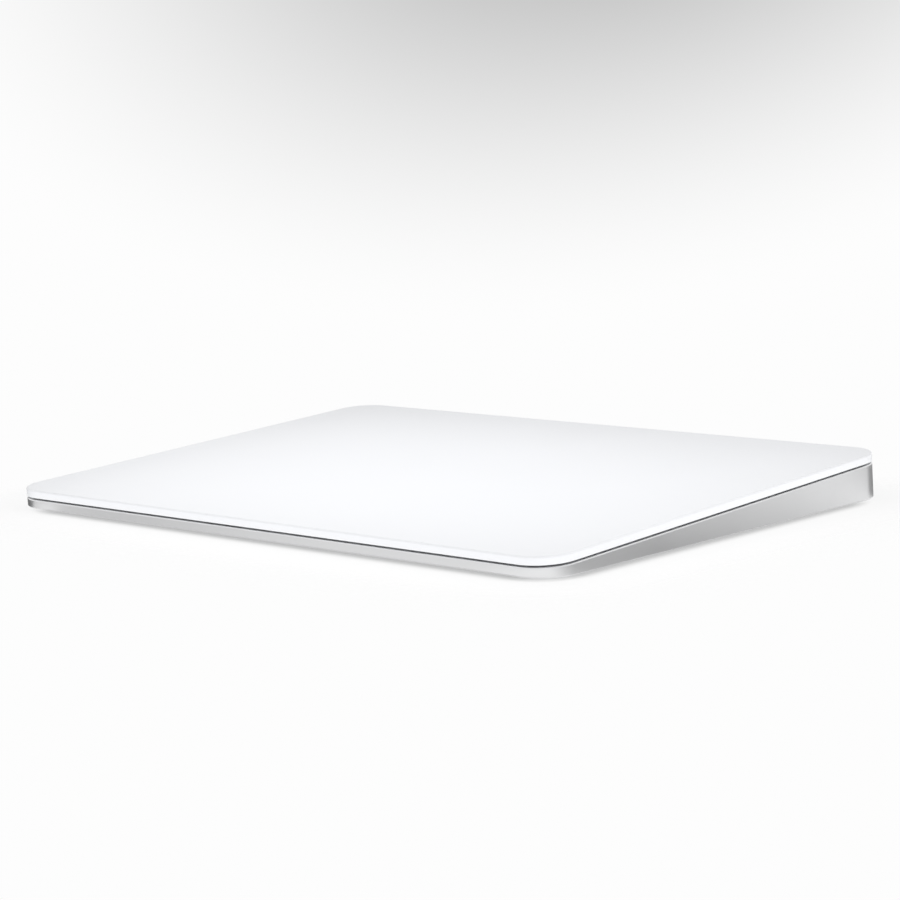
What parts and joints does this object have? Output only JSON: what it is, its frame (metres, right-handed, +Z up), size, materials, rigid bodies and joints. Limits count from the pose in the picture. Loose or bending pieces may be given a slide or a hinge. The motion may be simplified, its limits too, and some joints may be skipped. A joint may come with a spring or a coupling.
{
  "type": "trackpad",
  "caption": "Low wedge-shaped desk trackpad: a white glass touch plate presses and shifts on sprung flexures over a satin aluminium case with a charging port and a power slider.",
  "frame": {"origin": "centre of the footprint, on the desk under the feet", "axes": "+X to the right of a person using the pad, +Y from the thin front edge to the thick rear edge, +Z up from the desk"},
  "size_m": [0.16, 0.1152, 0.0109],
  "materials": {
    "glass": "etched glass with a white back, satin to the touch",
    "white_ring": "white moulded plastic, fine satin",
    "board": "green solder mask over fibreglass",
    "stiffener": "plain rolled aluminium sheet",
    "dust_skirt": "grey foam rubber",
    "chip": "black moulded package",
    "connector": "cream moulded plastic",
    "drive_steel": "soft magnetic steel, lightly brushed",
    "screw": "zinc-plated steel",
    "gel": "clear soft silicone",
    "case": "bead-blasted anodised aluminium, satin silver",
    "cover": "white moulded plastic, fine spark texture",
    "adhesive": "dark bonding tape",
    "foot": "light grey silicone rubber",
    "spring_steel": "bright spring steel",
    "film": "amber polyimide film with copper tracks",
    "chassis": "stamped stainless sheet",
    "copper": "enamelled copper winding",
    "cell": "dark laminated aluminium pouch",
    "tape": "pale adhesive tape",
    "nickel": "bright nickel strip",
    "shield": "tinned steel can",
    "port_steel": "satin stainless steel",
    "black_plastic": "black moulded plastic",
    "gold": "gold-plated contacts",
    "seal": "black silicone rubber",
    "slider": "bead-blasted anodised aluminium",
    "flag": "green printed mark"
  },
  "bodies": {
    "base": {"battery_board": "board", "main_board": "board", "switch_board": "board", "board_chips": "chip", "board_connectors": "connector", "haptic_bracket": "drive_steel", "haptic_core_left": "drive_steel", "haptic_core_right": "drive_steel", "flexure_screws": "screw", "chassis_screws": "screw", "haptic_screws": "screw", "board_screws": "screw", "guide_screws": "screw", "case": "case", "bottom_cover": "cover", "cover_adhesive": "adhesive", "foot_front_left": "foot", "foot_front_right": "foot", "foot_rear_left": "foot", "foot_rear_right": "foot", "flexure_front_left": "spring_steel", "flexure_front_right": "spring_steel", "flexure_rear_left": "spring_steel", "flexure_rear_right": "spring_steel", "strain_gauges": "film", "gauge_flex": "film", "haptic_flex": "film", "battery_lead": "film", "antenna": "film", "touch_flex": "film", "switch_flex": "film", "chassis": "chassis", "haptic_coil_left": "copper", "haptic_coil_right": "copper", "battery_cell_left": "cell", "battery_cell_right": "cell", "battery_tape": "tape", "cell_tabs": "nickel", "board_shield": "shield", "port_shell": "port_steel", "port_bracket": "port_steel", "port_tongue": "black_plastic", "slider_guide": "black_plastic", "switch_body": "black_plastic", "port_contacts": "gold", "port_seal": "seal"},
    "suspension": {"gel_pads": "gel"},
    "touch_plate": {"touch_glass": "glass", "glass_carrier": "white_ring", "sensor_board": "board", "stiffener_plate": "stiffener", "dust_skirt": "dust_skirt", "touch_controller": "chip", "touch_plug": "connector", "haptic_armature": "drive_steel", "armature_screws": "screw"},
    "power_slider": {"power_slider": "slider", "switch_flag": "flag", "switch_lever": "black_plastic"}
  },
  "joints": [
    {"name": "press", "type": "slide", "parent": "base", "child": "suspension", "axis": [0, 0.0523, -0.9986], "range_m": [0, 0.00025], "stiffness_N_per_m": 20000, "deforming": ["flexure_front_left", "flexure_front_right", "flexure_rear_left", "flexure_rear_right", "touch_flex"]},
    {"name": "haptic_shift", "type": "slide", "parent": "suspension", "child": "touch_plate", "axis": [1, 0, 0], "range_m": [-0.0001, 0.0001], "stiffness_N_per_m": 20000, "deforming": ["touch_flex"]},
    {"name": "power_slide", "type": "slide", "parent": "base", "child": "power_slider", "axis": [1, 0, 0], "range_m": [0, 0.003]}
  ]
}
